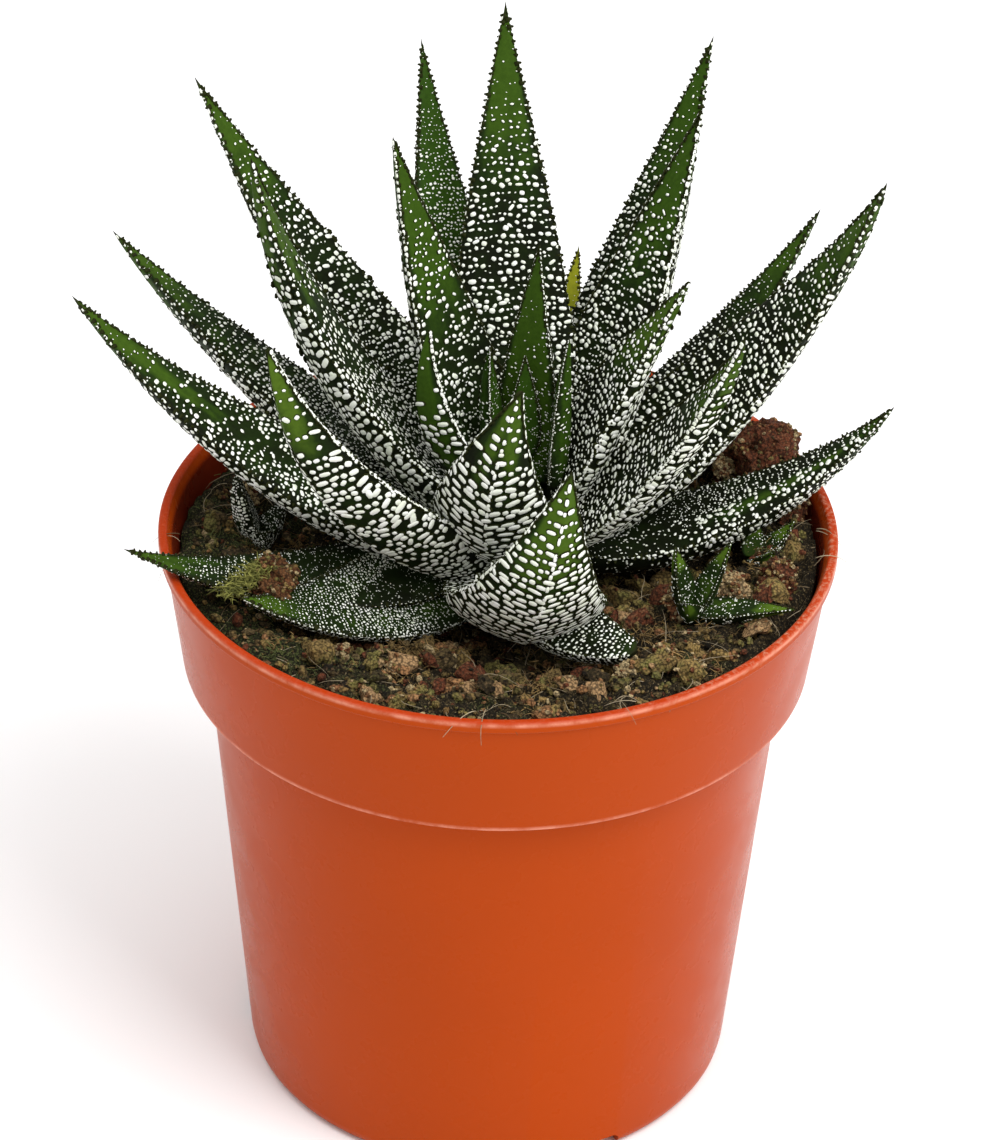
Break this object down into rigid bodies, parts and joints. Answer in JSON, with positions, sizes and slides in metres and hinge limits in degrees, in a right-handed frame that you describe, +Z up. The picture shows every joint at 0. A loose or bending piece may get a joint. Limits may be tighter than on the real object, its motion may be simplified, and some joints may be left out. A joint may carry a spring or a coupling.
{
  "type": "potted haworthia",
  "caption": "Rosette of thick, pointed, white-dotted succulent leaves in a round plastic pot filled with soil.",
  "frame": {"origin": "middle of the pot's underside, on the surface that the pot stands on", "axes": "+Z up along the pot's axis; -Y to the front, +X to the right as seen from the front"},
  "size_m": [0.1443, 0.1252, 0.1858],
  "materials": {
    "pot_plastic": "satin terracotta orange",
    "leaf": "satin dark green skin with raised white dots",
    "young_leaf": "satin fresh green skin with small white dots",
    "yellowing_leaf": "satin yellow green skin with small white dots",
    "stem": "dry, matte",
    "soil": "crumbly dark peat with fibres"
  },
  "bodies": {
    "root": {"pot": "pot_plastic", "soil": "soil", "stem": "stem", "leaf_bud_middle": "young_leaf", "leaf_bud_left": "young_leaf", "leaf_young_right": "young_leaf", "leaf_young_middle": "young_leaf", "leaf_young_left": "young_leaf", "leaf_front_inner": "leaf", "leaf_inner_left": "leaf", "leaf_inner_right": "leaf", "leaf_middle_left": "leaf", "leaf_middle_right": "leaf", "leaf_back_tall": "leaf", "leaf_front_right": "leaf", "leaf_upper_left": "leaf", "leaf_back_right": "leaf", "leaf_right": "leaf", "leaf_front_left": "leaf", "leaf_front": "leaf", "leaf_back_left": "leaf", "leaf_low_left": "leaf", "leaf_left": "leaf", "leaf_right_behind": "leaf", "leaf_low_right": "leaf", "leaf_low_back": "yellowing_leaf", "leaf_low_back_left": "leaf", "leaf_low_back_right": "leaf", "leaf_drooping_left": "leaf", "leaf_drooping_front_left": "leaf", "leaf_drooping_front_right": "leaf", "offset_front_right": "young_leaf", "offset_right": "young_leaf", "offset_left": "young_leaf"}
  },
  "joints": []
}
